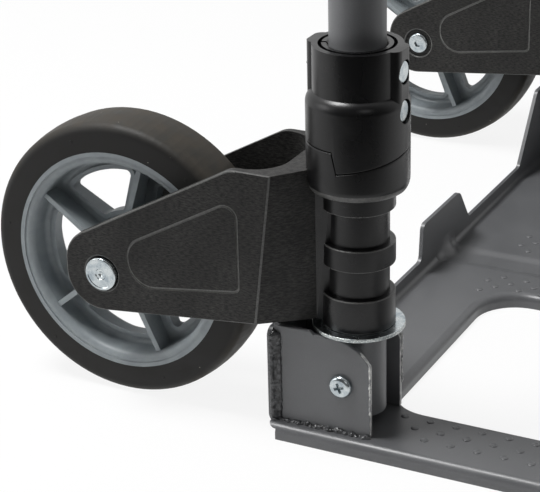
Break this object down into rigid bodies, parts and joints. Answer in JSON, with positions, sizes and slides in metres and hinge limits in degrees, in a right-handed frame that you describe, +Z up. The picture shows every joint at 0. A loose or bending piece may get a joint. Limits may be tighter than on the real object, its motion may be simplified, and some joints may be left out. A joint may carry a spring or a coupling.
{
  "type": "folding shopping trolley",
  "caption": "Two-wheeled folding trolley: the toe plate hinges up while helical cams turn both wheel brackets inwards; telescopic U handle with clamp levers.",
  "frame": {"origin": "on the floor, midway between the two posts and halfway from the front edge of the toe plate to the back of the wheels", "axes": "+X across the trolley to its right post seen from behind the wheels' opposite side, +Y towards the wheels, +Z up along the posts"},
  "size_m": [0.538, 0.4604, 0.8065],
  "materials": {
    "frame_paint": "satin graphite powder coat",
    "plate_paint": "satin graphite powder coat over pressed steel",
    "black_moulding": "grained black polyamide",
    "clamp_moulding": "satin black polyamide",
    "wheel_moulding": "blue-grey moulded plastic",
    "tyre_rubber": "solid dark rubber",
    "zinc_steel": "bright zinc plate",
    "spring_steel": "oiled spring wire",
    "handle_aluminium": "satin anodised",
    "grip_rubber": "soft matt grip",
    "nylon": "natural nylon"
  },
  "bodies": {
    "frame": {"left_cam_spring": "spring_steel", "left_clamp_bolt": "zinc_steel", "left_clamp_collar": "clamp_moulding", "left_clamp_nut": "zinc_steel", "left_collar_bolts": "zinc_steel", "left_collar_nuts": "zinc_steel", "left_pivot_nut": "zinc_steel", "left_pivot_screw": "zinc_steel", "left_pivot_spacers": "nylon", "left_post": "frame_paint", "left_upper_collar": "black_moulding", "lower_crossbar": "frame_paint", "right_cam_spring": "spring_steel", "right_clamp_bolt": "zinc_steel", "right_clamp_collar": "clamp_moulding", "right_clamp_nut": "zinc_steel", "right_collar_bolts": "zinc_steel", "right_collar_nuts": "zinc_steel", "right_pivot_nut": "zinc_steel", "right_pivot_screw": "zinc_steel", "right_pivot_spacers": "nylon", "right_post": "frame_paint", "right_upper_collar": "black_moulding", "upper_crossbar": "frame_paint"},
    "toe_plate": {"left_inner_side_plate": "plate_paint", "left_outer_side_plate": "plate_paint", "right_inner_side_plate": "plate_paint", "right_outer_side_plate": "plate_paint", "toe_plate": "plate_paint"},
    "left_washer": {"left_thrust_washer": "zinc_steel"},
    "left_bracket": {"left_axle_pin": "zinc_steel", "left_axle_screw": "zinc_steel", "left_bracket": "black_moulding"},
    "left_wheel": {"left_rim": "wheel_moulding", "left_tyre": "tyre_rubber", "left_wheel_bushes": "nylon"},
    "right_washer": {"right_thrust_washer": "zinc_steel"},
    "right_bracket": {"right_axle_pin": "zinc_steel", "right_axle_screw": "zinc_steel", "right_bracket": "black_moulding"},
    "right_wheel": {"right_rim": "wheel_moulding", "right_tyre": "tyre_rubber", "right_wheel_bushes": "nylon"},
    "handle": {"handle_grip": "grip_rubber", "handle_tube": "handle_aluminium", "left_handle_glide": "nylon", "right_handle_glide": "nylon"},
    "left_lever": {"left_clamp_lever": "clamp_moulding"},
    "right_lever": {"right_clamp_lever": "clamp_moulding"}
  },
  "joints": [
    {"name": "plate_fold", "type": "hinge", "parent": "frame", "child": "toe_plate", "pos_m": [0, 0, 0.0384], "axis": [-1, 0, 0], "range_deg": [0, 90]},
    {"name": "left_washer_drop", "type": "slide", "parent": "frame", "child": "left_washer", "axis": [0, 0, -1], "range_m": [0, 0.008], "deforming": ["left_cam_spring"]},
    {"name": "left_bracket_turn", "type": "hinge", "parent": "left_washer", "child": "left_bracket", "pos_m": [-0.231, 0, 0.1], "axis": [0, 0, -1], "range_deg": [0, 90]},
    {"name": "left_wheel_spin", "type": "hinge", "parent": "left_bracket", "child": "left_wheel", "pos_m": [-0.231, 0.1452, 0.085], "axis": [1, 0, 0], "continuous": true},
    {"name": "left_lever_turn", "type": "hinge", "parent": "frame", "child": "left_lever", "pos_m": [-0.214, 0.028, 0.711], "axis": [0, 0, 1], "range_deg": [0, 120]},
    {"name": "right_washer_drop", "type": "slide", "parent": "frame", "child": "right_washer", "axis": [0, 0, -1], "range_m": [0, 0.008], "deforming": ["right_cam_spring"]},
    {"name": "right_bracket_turn", "type": "hinge", "parent": "right_washer", "child": "right_bracket", "pos_m": [0.231, 0, 0.1], "axis": [0, 0, 1], "range_deg": [0, 90]},
    {"name": "right_wheel_spin", "type": "hinge", "parent": "right_bracket", "child": "right_wheel", "pos_m": [0.231, 0.1452, 0.085], "axis": [1, 0, 0], "continuous": true},
    {"name": "right_lever_turn", "type": "hinge", "parent": "frame", "child": "right_lever", "pos_m": [0.214, 0.028, 0.711], "axis": [0, 0, -1], "range_deg": [0, 120]},
    {"name": "handle_slide", "type": "slide", "parent": "frame", "child": "handle", "axis": [0, 0, 1], "range_m": [0, 0.35]}
  ],
  "couplings": [
    {"joint": "left_washer_drop", "follows": "plate_fold", "m_per_rad": 0.00509},
    {"joint": "left_bracket_turn", "follows": "plate_fold", "ratio": 1},
    {"joint": "right_washer_drop", "follows": "plate_fold", "m_per_rad": 0.00509},
    {"joint": "right_bracket_turn", "follows": "plate_fold", "ratio": 1}
  ]
}
